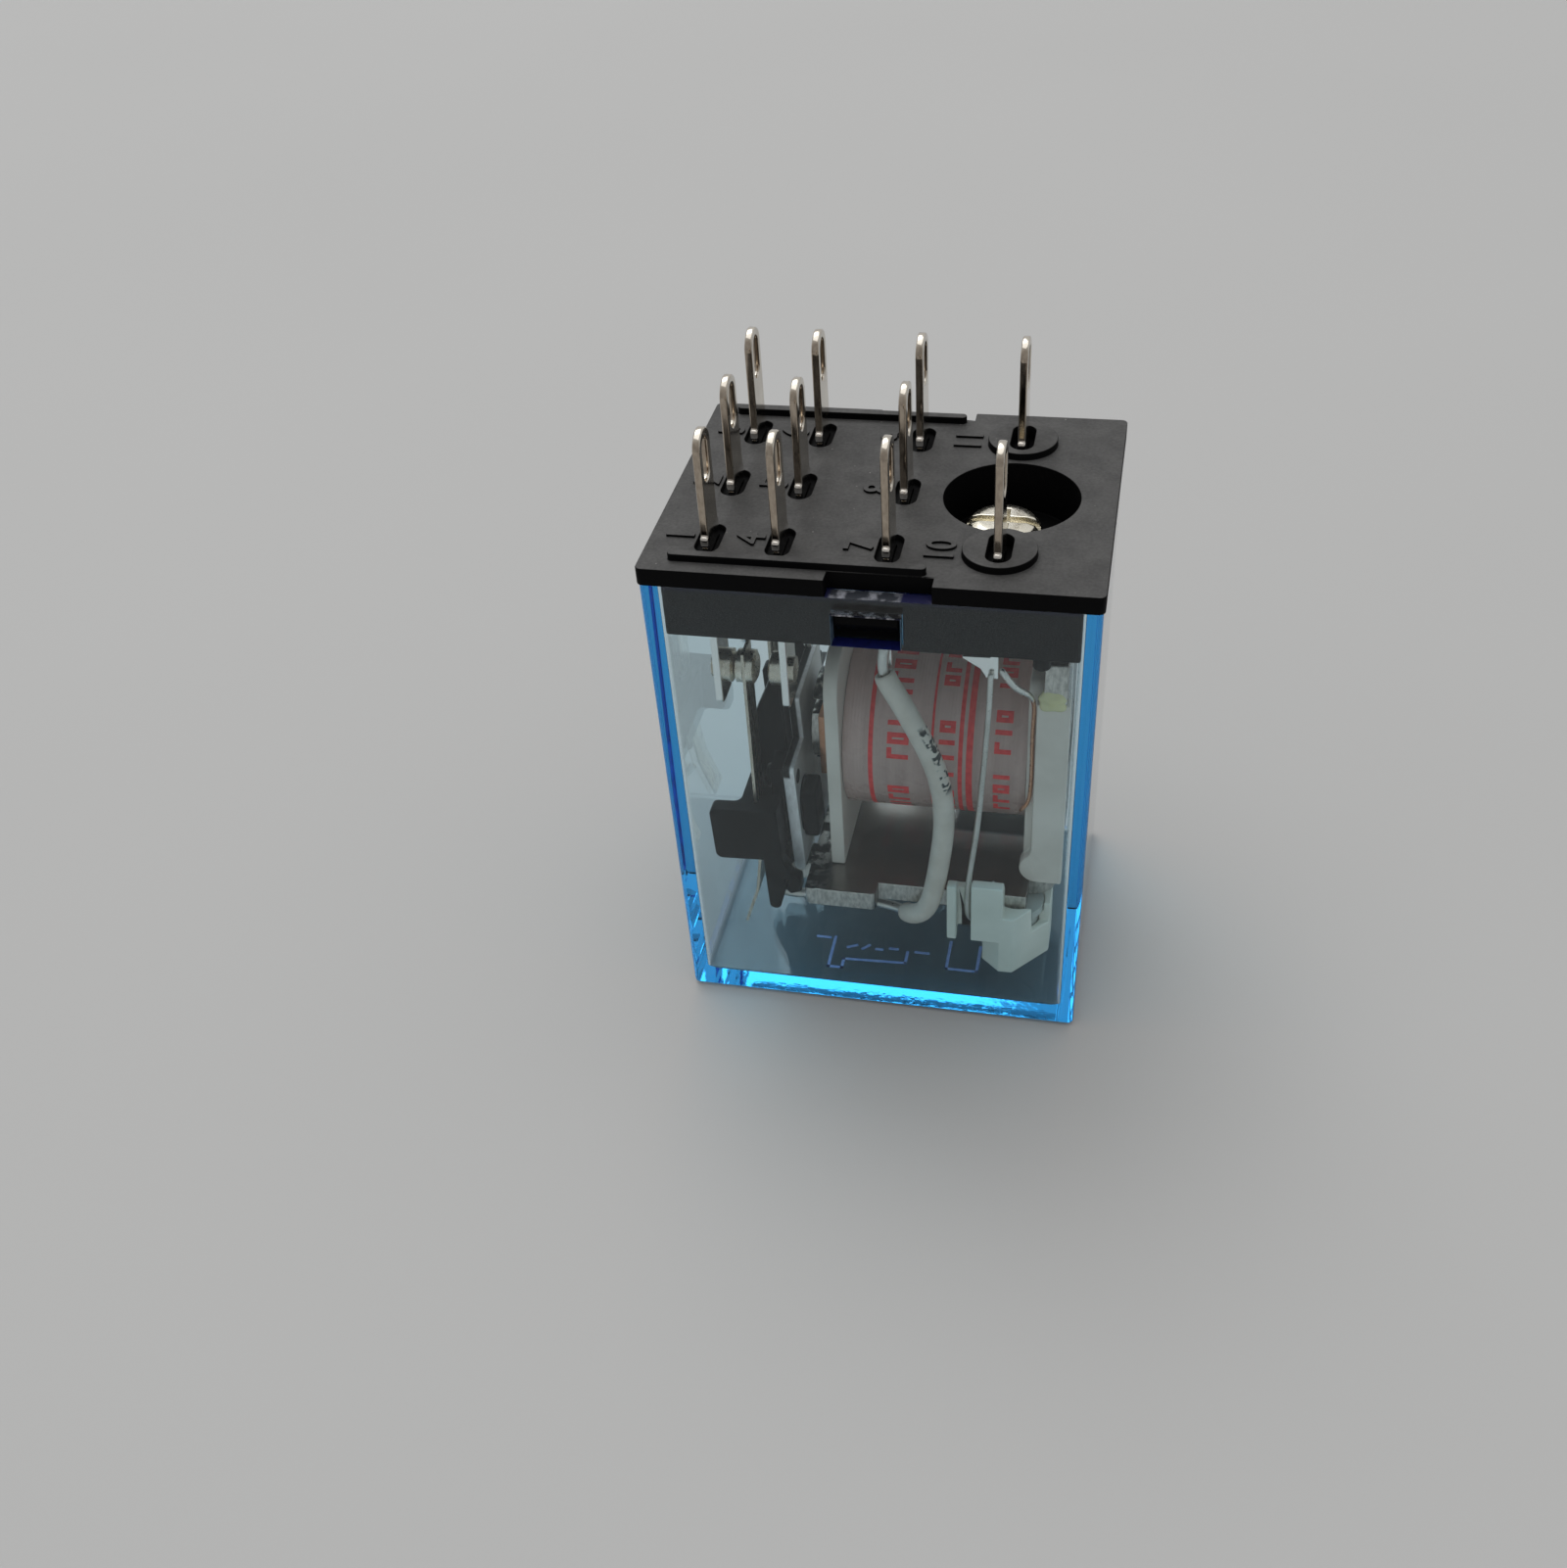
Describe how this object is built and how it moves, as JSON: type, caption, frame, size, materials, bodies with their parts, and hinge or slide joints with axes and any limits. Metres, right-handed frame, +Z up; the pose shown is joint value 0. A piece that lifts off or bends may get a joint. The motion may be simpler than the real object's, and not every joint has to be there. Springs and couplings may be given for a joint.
{
  "type": "plug-in relay",
  "caption": "Plug-in changeover relay with a clear blue cover over its coil, hinged armature and contacts, and flat blade terminals with solder eyes on a black base.",
  "frame": {"origin": "centre of the cover's closed end, on the surface that the relay stands on", "axes": "+Z up from the closed end to the terminals, +X from the contacts to the coil terminals, +Y across the poles, away from the picture's viewer"},
  "size_m": [0.028, 0.0216, 0.0434],
  "materials": {
    "base_plastic": "fine spark texture",
    "cover_clear": "clear, tinted blue",
    "terminal_plate": "bright nickel plate",
    "contact_silver": "silver alloy",
    "frame_steel": "dull nickel plate",
    "armature_steel": "nickel plate",
    "screw_plate": "yellow zinc plate",
    "copper": "bare or enamelled copper",
    "bobbin_plastic": "moulded",
    "wrap_film": "printed film",
    "carrier_plastic": "moulded",
    "spring_steel": "drawn wire",
    "spring_bronze": "rolled strip",
    "sleeve_plastic": "extruded",
    "tinned_wire": "tinned",
    "bracket_plastic": "moulded",
    "lamp_glass": "moulded lens",
    "resistor_coat": "lacquered"
  },
  "bodies": {
    "frame": {"base": "base_plastic", "cover": "cover_clear", "terminal_1": "terminal_plate", "terminal_2": "terminal_plate", "terminal_3": "terminal_plate", "terminal_4": "terminal_plate", "terminal_5": "terminal_plate", "terminal_6": "terminal_plate", "terminal_7": "terminal_plate", "terminal_8": "terminal_plate", "terminal_9": "terminal_plate", "terminal_10": "terminal_plate", "terminal_11": "terminal_plate", "nc_contact_1": "contact_silver", "nc_contact_2": "contact_silver", "nc_contact_3": "contact_silver", "no_contact_4": "contact_silver", "no_contact_5": "contact_silver", "no_contact_6": "contact_silver", "yoke": "frame_steel", "core": "frame_steel", "yoke_screw": "screw_plate", "shading_ring": "copper", "winding": "copper", "coil_lead_10": "copper", "coil_lead_11": "copper", "bobbin": "bobbin_plastic", "coil_wrap": "wrap_film", "return_spring": "spring_steel", "lead_sleeve_7": "sleeve_plastic", "lead_sleeve_8": "sleeve_plastic", "lead_sleeve_9": "sleeve_plastic", "indicator_wire_10": "tinned_wire", "indicator_wire_11": "tinned_wire", "lead_7": "tinned_wire", "lead_8": "tinned_wire", "lead_9": "tinned_wire", "indicator_bracket": "bracket_plastic", "indicator_lamp": "lamp_glass", "indicator_resistor": "resistor_coat"},
    "armature_group": {"armature": "armature_steel", "carrier": "carrier_plastic", "carrier_rivets": "armature_steel", "moving_spring_1": "spring_bronze", "moving_spring_2": "spring_bronze", "moving_spring_3": "spring_bronze", "moving_contact_1": "contact_silver", "moving_contact_2": "contact_silver", "moving_contact_3": "contact_silver"}
  },
  "joints": [
    {"name": "armature_swing", "type": "hinge", "parent": "frame", "child": "armature_group", "pos_m": [-0.0059, 0, 0.01], "axis": [0, 1, 0], "range_deg": [0, 2.55], "stiffness_Nm_per_rad": 0.02, "springref_deg": -8.59}
  ]
}
